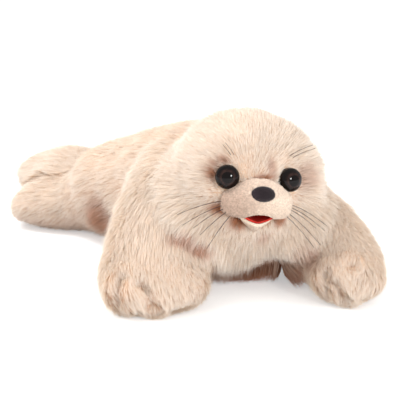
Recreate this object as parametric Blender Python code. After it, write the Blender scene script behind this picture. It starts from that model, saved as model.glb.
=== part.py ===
"""A full-body plush seal hand puppet, lying on its belly.

The origin is the middle of the flat patch of belly that rests on the table.
The face looks along -Y, +Z is up, and the seal's own left is +X.
"""
from collections import namedtuple
from math import cos, pi, radians, sin, sqrt

import bmesh
import bpy
from mathutils import Matrix, Vector
from mathutils.bvhtree import BVHTree

MM = 0.001
MERGE = 0.003 * MM
TINY = 0.001 * MM
# Longer than the puppet
FAR = 1.0
SHARP_ANGLE = radians(50)

# Cloth
SEAM_GAP = 0.3 * MM
FUR_THICKNESS = 5.0 * MM
LINING_THICKNESS = 1.4 * MM
FELT_THICKNESS = 1.4 * MM
BELLY_PRESS = 2.5 * MM

# Body
LENGTH = 400.0 * MM
BODY_WIDTH = 150.0 * MM
BODY_HEIGHT = 134.0 * MM
BODY_END = 30.0 * MM

# Head
HEAD_WIDTH = 126.0 * MM
HEAD_DEPTH = 108.0 * MM
HEAD_HEIGHT = 126.0 * MM
HEAD_LIFT = 30.0 * MM
HEAD_CENTRE = Vector((-0.02 * BODY_WIDTH, -0.175 * LENGTH, HEAD_HEIGHT / 2 + HEAD_LIFT))
HEAD_TILT = radians(5.5)

# Face
EYE_DIAMETER = 20.0 * MM
EYE_SPACING = 53.5 * MM
EYE_HEIGHT = 14.5 * MM
EYE_DOME = 7.0 * MM
EYE_SINK = 2.6 * MM
# How much more forward than the fur around them the eyes and the nose look
EYE_FACING = 0.8
NOSE_FACING = 0.6
MUZZLE_WIDTH = 60.5 * MM
MUZZLE_HEIGHT = 34.0 * MM
MUZZLE_DEPTH = 46.0 * MM
MUZZLE_SINK = 11.0 * MM
MUZZLE_FORWARD = HEAD_DEPTH / 2 - MUZZLE_SINK
MUZZLE_TAPER = 0.30
# How square the muzzle is in its lower half, seen from the front, the side and above, where 2 is an
# oval, and between which shares of its half height it changes from an oval to that
MUZZLE_FRONT_POWER = 6.0
MUZZLE_SIDE_POWER = 3.0
MUZZLE_TOP_POWER = 2.5
MUZZLE_OVAL_TO = 0.2
MUZZLE_SQUARE_FROM = -0.3
PAD_FORWARD = 3.0 * MM
PAD_DROP = 1.0 * MM
CHIN_WIDTH = 34.0 * MM
CHIN_HEIGHT = 28.0 * MM
CHIN_DEPTH = 38.0 * MM
CHIN_SET_BACK = 2.0 * MM
CHIN_FORWARD = MUZZLE_FORWARD - CHIN_SET_BACK
CHIN_OVERLAP = CHIN_HEIGHT / 2
# How much the lower halves come to a point in the middle, from 0, an oval, to 1, a plain V
CHIN_POINT = 0.8
MOUTH_POINT = 0.5
MOUTH_WIDTH = 28.0 * MM
MOUTH_OPENING = 12.0 * MM
MOUTH_DEPTH = 32.0 * MM
MOUTH_REACH = 9.0 * MM
MOUTH_FORWARD = MUZZLE_FORWARD + MOUTH_REACH
MOUTH_RAISE = 1.5 * MM
# How far in front of the mouth's middle the felt ends
FELT_REACH = 5.5 * MM
NOSE_WIDTH = 20.0 * MM
NOSE_HEIGHT = 13.0 * MM
NOSE_DEPTH = 9.0 * MM
NOSE_RAISE = 5.5 * MM

# Stems and lock washers
STEM_DIAMETER = 5.0 * MM
EYE_STEM_LENGTH = 13.0 * MM
NOSE_STEM_LENGTH = 8.0 * MM
WASHER_DIAMETER = 15.0 * MM
NOSE_WASHER_DIAMETER = 11.0 * MM
WASHER_THICKNESS = 1.4 * MM
NOSE_WASHER_CLEARANCE = 0.8 * MM

# How deep each washer's outer face lies behind the middle of its eye or nose
EYE_WASHER_TOP = -FUR_THICKNESS - SEAM_GAP
NOSE_WASHER_TOP = -NOSE_DEPTH / 2 - NOSE_WASHER_CLEARANCE

# Whiskers
WHISKER_LENGTH = 50.0 * MM
WHISKER_DIAMETER = 0.8 * MM
BROW_WHISKER_LENGTH = 25.0 * MM
BROW_WHISKER_DIAMETER = 0.7 * MM
WHISKER_TAPER = 0.45
WHISKER_ARCH = 0.05
WHISKER_STEPS = 5
WHISKER_SIDES = 4

# Flippers
FRONT_FLIPPER_WIDTH = 92.0 * MM
FRONT_FLIPPER_HEIGHT = 94.0 * MM
FRONT_FLIPPER_END = 22.0 * MM
REAR_FLIPPER_WIDTH = 62.0 * MM
REAR_FLIPPER_HEIGHT = 52.0 * MM
REAR_FLIPPER_END = 20.0 * MM
CREASE_WIDTH = 3.2 * MM
CREASE_DEPTH = 6.0 * MM
CREASE_RUN_OUT = 7.0 * MM
DIMPLE_DIAMETER = 7.0 * MM

# The hand's way in
POCKET_WIDTH = 62.0 * MM
POCKET_HEIGHT = 50.0 * MM
POCKET_END = 22.0 * MM
POCKET_START_END = 6.0 * MM
# How far above the table the lining starts
LINING_HEM = 2.0 * MM

# A station of a soft form: its middle as shares of the body's width, the puppet's length and the
# form's height, and its shares of the form's full width and height
Station = namedtuple("Station", "x y z width height")

# The body's stations have no z: the belly lies on the table all the way to the tail
BODY = (
    Station(0.000, -0.2000, None, 0.66, 0.62),
    Station(0.000, -0.1300, None, 0.86, 0.80),
    Station(-0.027, -0.0450, None, 1.00, 0.95),
    Station(-0.093, 0.0550, None, 1.00, 1.00),
    Station(-0.213, 0.1600, None, 0.96, 0.93),
    Station(-0.387, 0.2600, None, 0.88, 0.81),
    Station(-0.573, 0.3400, None, 0.76, 0.71),
    Station(-0.720, 0.4000, None, 0.58, 0.58),
)
RIGHT_FRONT_FLIPPER = (
    Station(-0.293, 0.0650, 0.894, 0.66, 0.80),
    Station(-0.367, -0.0150, 0.830, 0.73, 0.94),
    Station(-0.460, -0.1050, 0.596, 0.84, 0.96),
    Station(-0.540, -0.1900, 0.394, 0.92, 0.82),
    Station(-0.580, -0.2700, 0.255, 0.99, 0.60),
    Station(-0.580, -0.3650, 0.149, 0.91, 0.38),
)
LEFT_FRONT_FLIPPER = (
    Station(0.200, 0.0150, 0.596, 0.76, 0.76),
    Station(0.347, -0.0550, 0.553, 0.82, 0.82),
    Station(0.447, -0.1350, 0.436, 0.82, 0.78),
    Station(0.500, -0.2200, 0.330, 0.79, 0.66),
    Station(0.503, -0.3000, 0.245, 0.72, 0.52),
    Station(0.473, -0.3850, 0.149, 0.62, 0.36),
)
RIGHT_REAR_FLIPPER = (
    Station(-0.613, 0.3200, 0.577, 0.84, 0.96),
    Station(-0.760, 0.3650, 0.519, 0.98, 1.00),
    Station(-0.927, 0.4100, 0.442, 1.04, 0.90),
    Station(-1.087, 0.4500, 0.425, 0.98, 0.74),
    Station(-1.207, 0.4800, 0.385, 0.80, 0.56),
)
LEFT_REAR_FLIPPER = (
    Station(-0.573, 0.4100, 0.808, 0.76, 0.94),
    Station(-0.720, 0.4700, 0.904, 0.88, 1.00),
    Station(-0.867, 0.5250, 0.904, 0.92, 0.92),
    Station(-1.000, 0.5700, 0.835, 0.86, 0.72),
    Station(-1.080, 0.6050, 0.750, 0.70, 0.52),
)
POCKET = (
    Station(-0.160, 0.1650, -0.160, 1.10, 1.10),
    Station(-0.153, 0.1550, 0.240, 1.04, 1.04),
    Station(-0.133, 0.1200, 0.720, 1.00, 0.96),
    Station(-0.087, 0.0500, 1.100, 0.98, 0.90),
    Station(-0.047, -0.0400, 1.400, 0.92, 0.88),
    Station(-0.020, -0.1300, 1.680, 0.96, 0.96),
    Station(-0.013, -0.2300, 1.800, 0.96, 0.92),
)

# Near which places the digit creases of each front flipper start and end, in the stations' shares
RIGHT_CREASES = (
    ((-0.787, -0.320, 0.362), (-0.820, -0.330, 0.160)),
    ((-0.667, -0.350, 0.330), (-0.620, -0.362, 0.096)),
)
LEFT_CREASES = (
    ((0.333, -0.338, 0.330), (0.327, -0.347, 0.149)),
    ((0.360, -0.355, 0.255), (0.427, -0.370, 0.085)),
)
# Near which place the tack stitch pulls each front flipper in
RIGHT_DIMPLE = (-0.673, -0.345, 0.362)
LEFT_DIMPLE = (0.480, -0.350, 0.404)

# Each whisker starts inside the muzzle, at shares of its half sizes, and reaches out by shares of the
# whisker length
RIGHT_WHISKERS = (
    ((-0.66, -0.45, -0.16), (-0.86, 0.36, -0.38)),
    ((-0.66, -0.45, -0.26), (-0.77, 0.30, -0.51)),
    ((-0.66, -0.48, -0.36), (-0.61, 0.18, -0.48)),
    ((-0.64, -0.50, -0.46), (-0.52, 0.08, -0.53)),
    ((-0.62, -0.52, -0.60), (-0.42, 0.00, -0.68)),
)
LEFT_WHISKERS = (
    ((0.66, -0.45, -0.16), (0.97, 0.40, -0.49)),
    ((0.66, -0.45, -0.26), (0.91, 0.36, -0.52)),
    ((0.66, -0.48, -0.36), (0.70, 0.22, -0.41)),
    ((0.64, -0.50, -0.46), (0.77, 0.06, -0.62)),
    ((0.62, -0.52, -0.60), (0.65, 0.00, -0.60)),
)
# Each brow whisker starts inside the head, at shares of its half sizes
RIGHT_BROW_WHISKERS = (
    ((-0.26, -0.75, 0.40), (-0.58, -0.20, 0.68)),
    ((-0.29, -0.74, 0.38), (-0.57, -0.18, 0.66)),
)
LEFT_BROW_WHISKERS = (
    ((0.30, -0.71, 0.43), (0.98, -0.24, 0.68)),
    ((0.33, -0.70, 0.40), (1.02, -0.20, 0.64)),
)

# How finely the round forms are drawn, as the counts of facets around and along
BODY_FACETS = (24, 11)
HEAD_FACETS = (24, 15)
FLIPPER_FACETS = (20, 9)
POCKET_FACETS = (14, 8)
MUZZLE_FACETS = (22, 13)
CHIN_FACETS = (20, 12)
MOUTH_FACETS = (14, 9)
NOSE_FACETS = (16, 9)
CREASE_FACETS = (8, 6)
DIMPLE_FACETS = (10, 6)
EYE_FACETS = 18
WASHER_FACETS = 14
NOSE_STEM_FACETS = 10
DOME_STEPS = 4
END_TURNS = (radians(28), radians(56), radians(90))

# The share of a facet that a ball is turned by, which keeps its edges off those of the ball that it cuts
MOUTH_PHASE = 0.37
NOSE_PHASE = 0.31
MUZZLE_PHASE = 0.5
CHIN_PHASE = 0.2

# Colours
CREAM = (0.80, 0.67, 0.56)
PALE_CREAM = (0.84, 0.73, 0.63)
MUZZLE_CREAM = (0.72, 0.56, 0.45)
FIBRE_WHITE = (0.85, 0.84, 0.82)
LINING_TAN = (0.55, 0.42, 0.32)
FELT_RED = (0.50, 0.06, 0.04)
EYE_BROWN = (0.03, 0.012, 0.008)
NOSE_CHARCOAL = (0.035, 0.025, 0.028)
WASHER_WHITE = (0.80, 0.80, 0.78)
WHISKER_BROWN = (0.05, 0.03, 0.025)


def start_empty():
    """Remove every object that the scene came with."""
    for item in list(bpy.data.objects):
        bpy.data.objects.remove(item, do_unlink=True)


def finish(name, colour, roughness):
    """One plain surface for each kind of piece."""
    material = bpy.data.materials.get(name)
    if material is None:
        material = bpy.data.materials.new(name)
        material.use_nodes = True
        shader = material.node_tree.nodes["Principled BSDF"]
        shader.inputs["Base Color"].default_value = (*colour, 1.0)
        shader.inputs["Roughness"].default_value = roughness
    return material


def solid(name, mesh_work, material=None):
    """Turn worked mesh data into a named object with its faces pointing out."""
    bmesh.ops.recalc_face_normals(mesh_work, faces=mesh_work.faces)
    mesh = bpy.data.meshes.new(name)
    mesh_work.to_mesh(mesh)
    mesh_work.free()
    mesh.shade_smooth()
    mesh.set_sharp_from_angle(angle=SHARP_ANGLE)
    item = bpy.data.objects.new(name, mesh)
    bpy.context.scene.collection.objects.link(item)
    if material is not None:
        mesh.materials.append(material)
    return item


def grown(work, grow):
    """Move a closed surface out by grow on every side, or in where grow is negative."""
    bmesh.ops.triangulate(work, faces=work.faces[:])
    bmesh.ops.recalc_face_normals(work, faces=work.faces)
    moves = [(vertex, vertex.normal * vertex.calc_shell_factor() * grow) for vertex in work.verts]
    for vertex, move in moves:
        vertex.co += move


def smooth_through(values, place):
    """Read a smooth line through evenly spaced values, at place from 0 to their last index."""
    last = len(values) - 1
    index = min(int(place), last - 1)
    part = place - index
    before = values[max(index - 1, 0)]
    start, end = values[index], values[index + 1]
    after = values[min(index + 2, last)]
    return 0.5 * (
        2.0 * start
        + (end - before) * part
        + (2.0 * before - 5.0 * start + 4.0 * end - after) * part ** 2
        + (3.0 * start - before - 3.0 * end + after) * part ** 3
    )


class Form:
    """A soft form along a bent middle line, with round ends and oval sections."""

    SAMPLES = 96

    def __init__(self, stations, width, height, end, start_end=None, across=None):
        self.end = end
        self.start_end = end if start_end is None else start_end
        self.across = across
        middles = []
        for station in stations:
            up = station.height * height / 2
            z = up - BELLY_PRESS if station.z is None else station.z * height
            middles.append(Vector((station.x * BODY_WIDTH, station.y * LENGTH, z)))
        widths = [station.width * width / 2 for station in stations]
        heights = [station.height * height / 2 for station in stations]
        last = len(stations) - 1
        places = [last * step / self.SAMPLES for step in range(self.SAMPLES + 1)]
        self.middle = [smooth_through(middles, place) for place in places]
        self.half_width = [smooth_through(widths, place) for place in places]
        self.half_height = [smooth_through(heights, place) for place in places]
        self.run = [0.0]
        for a, b in zip(self.middle, self.middle[1:]):
            self.run.append(self.run[-1] + (b - a).length)

    def at(self, distance):
        """The middle, the way along, and the two half sizes at a distance from the first station."""
        index = self.SAMPLES - 1
        for step in range(self.SAMPLES):
            if distance <= self.run[step + 1]:
                index = step
                break
        a, b = self.middle[index], self.middle[index + 1]
        part = (distance - self.run[index]) / (self.run[index + 1] - self.run[index])
        inside = min(max(part, 0.0), 1.0)
        half_width, half_height = (
            values[index] + (values[index + 1] - values[index]) * inside
            for values in (self.half_width, self.half_height)
        )
        return a + (b - a) * part, (b - a).normalized(), half_width, half_height

    def section(self, distance):
        """The oval section at a distance along: its middle, and its half sizes as arrows."""
        length = self.run[-1]
        middle, along, half_width, half_height = self.at(distance)
        share = 1.0
        if distance < self.start_end:
            share = sqrt(1.0 - (1.0 - distance / self.start_end) ** 2)
        if length - distance < self.end:
            share = sqrt(1.0 - (1.0 - (length - distance) / self.end) ** 2)
        side = along.cross(Vector((0, 0, 1))) if self.across is None else self.across.copy()
        side = (side - along * side.dot(along)).normalized()
        up = side.cross(along)
        return middle, side * half_width * share, up * half_height * share

    def solid(self, name, grow=0.0, facets=FLIPPER_FACETS, material=None):
        """Build the form, larger by grow on every side."""
        length = self.run[-1]
        sides, rings = facets
        places = [self.start_end * (1.0 - cos(turn)) for turn in END_TURNS]
        straight = length - self.start_end - self.end
        places += [self.start_end + straight * step / rings for step in range(1, rings)]
        places += [length - self.end * (1.0 - cos(turn)) for turn in reversed(END_TURNS)]
        work = bmesh.new()
        loops = []
        for place in places:
            middle, sideways, upward = self.section(place)
            turns = [2.0 * pi * step / sides for step in range(sides)]
            loops.append([work.verts.new(middle + sideways * cos(t) + upward * sin(t)) for t in turns])
        first = work.verts.new(self.at(0.0)[0])
        final = work.verts.new(self.at(length)[0])
        for a, b in zip(loops, loops[1:]):
            for step in range(sides):
                other = (step + 1) % sides
                work.faces.new((a[step], a[other], b[other], b[step]))
        for step in range(sides):
            other = (step + 1) % sides
            work.faces.new((first, loops[0][other], loops[0][step]))
            work.faces.new((final, loops[-1][step], loops[-1][other]))
        grown(work, grow)
        return solid(name, work, material)


def head_place(x, y, z):
    """A point given from the head's middle, in the puppet's own frame."""
    return HEAD_CENTRE + Matrix.Rotation(HEAD_TILT, 3, "Y") @ Vector((x, y, z))


def head_matrix(x, y, z, way=None):
    """A placing on the head, whose own Z looks along way where one is given."""
    turn = Matrix.Rotation(HEAD_TILT, 4, "Y")
    if way is not None:
        turn = turn @ way.to_track_quat("Z", "Y").to_matrix().to_4x4()
    return Matrix.Translation(head_place(x, y, z)) @ turn


def oval(name, size, matrix, facets, grow=0.0, material=None, phase=0.0, point=0.0):
    """An oval ball of the given full size, larger by grow on every side, its lower half pointed or not."""
    around, along = facets
    work = bmesh.new()
    bmesh.ops.create_uvsphere(work, u_segments=around, v_segments=along, radius=1.0)
    turn = Matrix.Rotation(2.0 * pi * phase / around, 3, "Z")
    bmesh.ops.rotate(work, matrix=turn, verts=work.verts)
    for vertex in work.verts:
        if vertex.co.z < 0.0:
            share = min(abs(vertex.co.x), 1.0)
            vertex.co.z *= ((1.0 - share) / (1.0 + share)) ** (point / 2)
    bmesh.ops.scale(work, vec=[value / 2 for value in size], verts=work.verts)
    grown(work, grow)
    bmesh.ops.transform(work, matrix=matrix, verts=work.verts)
    return solid(name, work, material)


def turned(name, profile, matrix, around, closed=False, material=None):
    """Turn a profile of radius and height about the placing's own Z."""
    work = bmesh.new()
    loops = []
    for radius, height in profile:
        if radius < TINY:
            loops.append([work.verts.new((0.0, 0.0, height))])
            continue
        turns = [2.0 * pi * step / around for step in range(around)]
        loops.append([work.verts.new((radius * cos(t), radius * sin(t), height)) for t in turns])
    pairs = list(zip(loops, loops[1:]))
    if closed:
        pairs.append((loops[-1], loops[0]))
    for a, b in pairs:
        for step in range(around):
            other = (step + 1) % around
            if len(a) == 1:
                work.faces.new((a[0], b[step], b[other]))
            elif len(b) == 1:
                work.faces.new((a[step], b[0], a[other]))
            else:
                work.faces.new((a[step], b[step], b[other], a[other]))
    bmesh.ops.transform(work, matrix=matrix, verts=work.verts)
    return solid(name, work, material)


def block(name, high, matrix):
    """A plain box from far away up to one corner."""
    low = Vector((-FAR, -FAR, -FAR))
    work = bmesh.new()
    bmesh.ops.create_cube(work, size=1.0)
    bmesh.ops.scale(work, vec=high - low, verts=work.verts)
    bmesh.ops.translate(work, vec=(low + high) / 2, verts=work.verts)
    bmesh.ops.transform(work, matrix=matrix, verts=work.verts)
    return solid(name, work)


def combine(item, others, operation="DIFFERENCE"):
    """Cut item with each of the others, or join them to it, and remove what was used."""
    for other in others:
        step = item.modifiers.new(other.name, "BOOLEAN")
        step.operation = operation
        step.solver = "EXACT"
        step.object = other
        graph = bpy.context.evaluated_depsgraph_get()
        shaped = bpy.data.meshes.new_from_object(item.evaluated_get(graph))
        item.modifiers.clear()
        spare = item.data
        item.data = shaped
        bpy.data.meshes.remove(spare)
        bpy.data.objects.remove(other, do_unlink=True)
    work = bmesh.new()
    work.from_mesh(item.data)
    bmesh.ops.remove_doubles(work, verts=work.verts, dist=MERGE)
    bmesh.ops.dissolve_degenerate(work, edges=work.edges, dist=MERGE)
    work.to_mesh(item.data)
    work.free()
    item.data.name = item.name
    return item


def above_table(item):
    """Press the item flat where it lies on the table."""
    work = bmesh.new()
    work.from_mesh(item.data)
    geometry = work.verts[:] + work.edges[:] + work.faces[:]
    cut = bmesh.ops.bisect_plane(
        work, geom=geometry, plane_co=(0, 0, 0), plane_no=(0, 0, 1), clear_inner=True, dist=TINY
    )
    rim = [part for part in cut["geom_cut"] if isinstance(part, bmesh.types.BMEdge)]
    bmesh.ops.triangle_fill(work, edges=rim, use_beauty=True, use_dissolve=False)
    bmesh.ops.recalc_face_normals(work, faces=work.faces)
    work.to_mesh(item.data)
    work.free()
    return item


body_form = Form(BODY, BODY_WIDTH, BODY_HEIGHT, BODY_END)
pocket_form = Form(POCKET, POCKET_WIDTH, POCKET_HEIGHT, POCKET_END, POCKET_START_END, Vector((-1, 0, 0)))
HEAD_SIZE = Vector((HEAD_WIDTH, HEAD_DEPTH, HEAD_HEIGHT))
MUZZLE_SIZE = Vector((MUZZLE_WIDTH, MUZZLE_DEPTH, MUZZLE_HEIGHT))


def body_solid(grow, name="body_shape", material=None):
    return body_form.solid(name, grow, BODY_FACETS, material)


def head_solid(grow, name="head_shape", material=None):
    return oval(name, HEAD_SIZE, head_matrix(0, 0, 0), HEAD_FACETS, grow, material)


def pocket_solid(grow, name="pocket_shape", material=None):
    return pocket_form.solid(name, grow, POCKET_FACETS, material)


def mouth_solid(grow):
    size = Vector((MOUTH_WIDTH, MOUTH_DEPTH, MOUTH_OPENING))
    place = head_matrix(0, -MOUTH_FORWARD, MOUTH_RAISE - MUZZLE_HEIGHT / 2)
    return oval("mouth_shape", size, place, MOUTH_FACETS, grow, phase=MOUTH_PHASE, point=MOUTH_POINT)


def on_oval(size, centre_y, x, z):
    """The front point of an oval ball at x and z, and the way that its surface faces there."""
    a, b, c = size.x / 2, size.y / 2, size.z / 2
    y = -b * sqrt(1.0 - (x / a) ** 2 - (z / c) ** 2)
    way = Vector((x / a ** 2, y / b ** 2, z / c ** 2)).normalized()
    return Vector((x, centre_y + y, z)), way


def eye_matrix(side):
    """The eye's middle lies on the fur, and looks a little less sideways than the fur does."""
    place, way = on_oval(HEAD_SIZE, 0.0, side * EYE_SPACING / 2, EYE_HEIGHT)
    way = (way + Vector((0, -EYE_FACING, 0))).normalized()
    return head_matrix(*place, way=way)


def dome(diameter, height):
    """The profile of a round dome, from its rim to its top."""
    turns = [pi / 2 * step / DOME_STEPS for step in range(DOME_STEPS)]
    return [(diameter / 2 * cos(turn), height * sin(turn)) for turn in turns] + [(0.0, height)]


def stem_profile(end, root, washer_top, washer_diameter, grow, seat):
    """The profile of a stem from its end to its root, with room for its lock washer in a seat."""
    stem = STEM_DIAMETER / 2 + grow
    profile = [(0.0, end - grow), (stem, end - grow)]
    if seat:
        outer = washer_diameter / 2 + grow
        bottom, top = washer_top - WASHER_THICKNESS - grow, washer_top + grow
        profile += [(stem, bottom), (outer, bottom), (outer, top), (stem, top)]
    return profile + [(stem, root)]


def eye_solid(name, side, seat=False, material=None):
    """The eye with its stem, or the seat that it and its washer need."""
    grow = SEAM_GAP if seat else 0.0
    back = -EYE_SINK - grow
    profile = stem_profile(-EYE_STEM_LENGTH, back, EYE_WASHER_TOP, WASHER_DIAMETER, grow, seat)
    profile.append((EYE_DIAMETER / 2 + grow, back))
    profile += dome(EYE_DIAMETER + 2 * grow, EYE_DOME + grow)
    return turned(name, profile, eye_matrix(side), EYE_FACETS, material=material)


def nose_matrix():
    place, way = on_oval(MUZZLE_SIZE, -MUZZLE_FORWARD, 0.0, NOSE_RAISE)
    return head_matrix(*place, way=(way + Vector((0, -NOSE_FACING, 0))).normalized())


def nose_solid(name, seat=False, material=None):
    """The nose with its stem, or the seat that it and its washer need."""
    grow = SEAM_GAP if seat else 0.0
    size = (NOSE_WIDTH, NOSE_HEIGHT, NOSE_DEPTH)
    ball = oval(name, size, nose_matrix(), NOSE_FACETS, grow, material, NOSE_PHASE)
    profile = stem_profile(-NOSE_STEM_LENGTH, 0.0, NOSE_WASHER_TOP, NOSE_WASHER_DIAMETER, grow, seat)
    stem = turned("nose_stem", profile + [(0.0, 0.0)], nose_matrix(), NOSE_STEM_FACETS)
    return combine(ball, [stem], "UNION")


def washer(name, matrix, top, diameter):
    """A flat ring on a stem, with its outer face at the height top."""
    hole, outer, bottom = STEM_DIAMETER / 2 + SEAM_GAP, diameter / 2, top - WASHER_THICKNESS
    profile = [(hole, bottom), (outer, bottom), (outer, top), (hole, top)]
    material = finish("washer", WASHER_WHITE, 0.5)
    return turned(name, profile, matrix, WASHER_FACETS, closed=True, material=material)


def squared(place, half):
    """A point of an oval ball, moved out to where its lower half is squarer."""
    x, y, z = [value / size for value, size in zip(place, half)]
    ring = sqrt(x * x + y * y)
    if ring < TINY:
        return place
    x, y, high = x / ring, y / ring, min(abs(z), 1.0)
    ring_size = (abs(x) ** MUZZLE_TOP_POWER + abs(y) ** MUZZLE_TOP_POWER) ** (-1.0 / MUZZLE_TOP_POWER)
    wide = ring_size * (1.0 - high ** MUZZLE_FRONT_POWER) ** (1.0 / MUZZLE_FRONT_POWER)
    deep = ring_size * (1.0 - high ** MUZZLE_SIDE_POWER) ** (1.0 / MUZZLE_SIDE_POWER)
    square = Vector((x * wide * half.x, y * deep * half.y, place.z))
    low = (MUZZLE_OVAL_TO - z) / (MUZZLE_OVAL_TO - MUZZLE_SQUARE_FROM)
    return place.lerp(square, min(max(low, 0.0), 1.0))


def muzzle_solid(name, grow=0.0, material=None):
    """An oval ball, full below, with a pad on each side of a shallow middle."""
    item = oval(name, MUZZLE_SIZE, Matrix.Identity(4), MUZZLE_FACETS, material=material, phase=MUZZLE_PHASE)
    for vertex in item.data.vertices:
        vertex.co = squared(vertex.co, MUZZLE_SIZE / 2)
        share = abs(vertex.co.x) / (MUZZLE_WIDTH / 2)
        pad = sin(pi * min(share, 1.0))
        low = max(0.0, -vertex.co.z / (MUZZLE_HEIGHT / 2))
        high = max(0.0, vertex.co.z / (MUZZLE_HEIGHT / 2))
        vertex.co.y -= PAD_FORWARD * pad * (1.0 - high)
        vertex.co.z -= PAD_DROP * pad * low
        vertex.co.x *= 1.0 - MUZZLE_TAPER * high
    work = bmesh.new()
    work.from_mesh(item.data)
    grown(work, grow)
    bmesh.ops.transform(work, matrix=head_matrix(0, -MUZZLE_FORWARD, 0), verts=work.verts)
    work.to_mesh(item.data)
    work.free()
    return item


def chin_solid(name, grow=0.0, material=None):
    size = Vector((CHIN_WIDTH, CHIN_DEPTH, CHIN_HEIGHT))
    drop = CHIN_OVERLAP - MUZZLE_HEIGHT / 2 - CHIN_HEIGHT / 2
    place = head_matrix(0, -CHIN_FORWARD, drop)
    return oval(name, size, place, CHIN_FACETS, grow, material, CHIN_PHASE, CHIN_POINT)


def make_body():
    fur = finish("body_fur", CREAM, 0.9)
    cover = body_solid(0.0, "body_cover", fur)
    above_table(cover)
    combine(cover, [body_solid(-FUR_THICKNESS), head_solid(SEAM_GAP), pocket_solid(SEAM_GAP)])
    inset = FUR_THICKNESS + SEAM_GAP
    filling = body_solid(-inset, "body_stuffing", finish("fibre", FIBRE_WHITE, 1.0))
    combine(filling, [head_solid(-FUR_THICKNESS), pocket_solid(SEAM_GAP)])


def make_lining():
    """The hand's bag: open at the underside, closed in the head."""
    lining = pocket_solid(0.0, "glove_lining", finish("lining", LINING_TAN, 0.8))
    below = block("below", Vector((FAR, FAR, LINING_HEM)), Matrix.Identity(4))
    combine(lining, [pocket_solid(-LINING_THICKNESS), below])


def make_head():
    cover = head_solid(0.0, "head_cover", finish("head_fur", PALE_CREAM, 0.9))
    seats = [eye_solid("eye_seat", side, seat=True) for side in (-1, 1)]
    combine(cover, [head_solid(-FUR_THICKNESS), body_solid(-FUR_THICKNESS), mouth_solid(SEAM_GAP)] + seats)
    inset = FUR_THICKNESS + SEAM_GAP
    padding = head_solid(-inset, "head_padding", finish("fibre", FIBRE_WHITE, 1.0))
    seats = [eye_solid("eye_seat", side, seat=True) for side in (-1, 1)]
    combine(padding, [pocket_solid(SEAM_GAP), mouth_solid(SEAM_GAP)] + seats)


def make_face():
    knit = finish("muzzle_knit", MUZZLE_CREAM, 0.95)
    muzzle = muzzle_solid("muzzle", 0.0, knit)
    seats = [eye_solid("eye_seat", side, seat=True) for side in (-1, 1)]
    seats.append(nose_solid("nose_seat", seat=True))
    combine(muzzle, [head_solid(SEAM_GAP), mouth_solid(SEAM_GAP)] + seats)
    chin = chin_solid("chin", 0.0, knit)
    combine(chin, [head_solid(SEAM_GAP), mouth_solid(SEAM_GAP), muzzle_solid("muzzle_shape", SEAM_GAP)])
    mouth = mouth_solid(0.0)
    mouth.name = "mouth_lining"
    mouth.data.materials.append(finish("mouth_felt", FELT_RED, 0.95))
    front = block("front", Vector((FAR, -MOUTH_FORWARD - FELT_REACH, FAR)), head_matrix(0, 0, 0))
    combine(mouth, [mouth_solid(-FELT_THICKNESS), front])
    nose_solid("nose", material=finish("nose_velvet", NOSE_CHARCOAL, 0.9))
    washer("nose_washer", nose_matrix(), NOSE_WASHER_TOP, NOSE_WASHER_DIAMETER)
    for side, word in ((-1, "right"), (1, "left")):
        eye_solid(f"eye_{word}", side, material=finish("eye_plastic", EYE_BROWN, 0.08))
        washer(f"eye_washer_{word}", eye_matrix(side), EYE_WASHER_TOP, WASHER_DIAMETER)


def make_flipper(name, form, cuts):
    item = form.solid(name, material=finish("flipper_fur", CREAM, 0.9))
    above_table(item)
    return combine(item, cuts)


def skin_point(item, place):
    """The point of a front flipper's skin nearest to a place, and the way out of it there."""
    x, y, z = place
    near = Vector((x * BODY_WIDTH, y * LENGTH, z * FRONT_FLIPPER_HEIGHT))
    tree = BVHTree.FromPolygons(
        [vertex.co for vertex in item.data.vertices], [face.vertices for face in item.data.polygons]
    )
    return tree.find_nearest(near)[:2]


def crease(item, ends):
    """A thin leaf-shaped cut down the skin, where two digits are sewn apart."""
    (start, start_way), (end, end_way) = (skin_point(item, place) for place in ends)
    along = (end - start).normalized()
    across = along.cross(start_way + end_way).normalized()
    turn = Matrix((across, along.cross(across), along)).transposed().to_4x4()
    size = (CREASE_WIDTH, 2 * CREASE_DEPTH, (end - start).length + 2 * CREASE_RUN_OUT)
    return oval("crease", size, Matrix.Translation((start + end) / 2) @ turn, CREASE_FACETS)


def dimple(item, place):
    """A round hollow in the skin, where a stitch pulls it in."""
    size = (DIMPLE_DIAMETER, DIMPLE_DIAMETER, DIMPLE_DIAMETER)
    return oval("dimple", size, Matrix.Translation(skin_point(item, place)[0]), DIMPLE_FACETS)


def make_flippers():
    fronts = (
        ("front_flipper_right", RIGHT_FRONT_FLIPPER, RIGHT_CREASES, RIGHT_DIMPLE),
        ("front_flipper_left", LEFT_FRONT_FLIPPER, LEFT_CREASES, LEFT_DIMPLE),
    )
    for name, stations, creases, tack in fronts:
        form = Form(stations, FRONT_FLIPPER_WIDTH, FRONT_FLIPPER_HEIGHT, FRONT_FLIPPER_END)
        item = make_flipper(name, form, [body_solid(SEAM_GAP), head_solid(SEAM_GAP)])
        combine(item, [crease(item, ends) for ends in creases] + [dimple(item, tack)])
    rear = (REAR_FLIPPER_WIDTH, REAR_FLIPPER_HEIGHT, REAR_FLIPPER_END)
    right, left = Form(RIGHT_REAR_FLIPPER, *rear), Form(LEFT_REAR_FLIPPER, *rear)
    make_flipper("rear_flipper_right", right, [body_solid(SEAM_GAP)])
    make_flipper("rear_flipper_left", left, [body_solid(SEAM_GAP), right.solid("beside", SEAM_GAP)])


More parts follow.
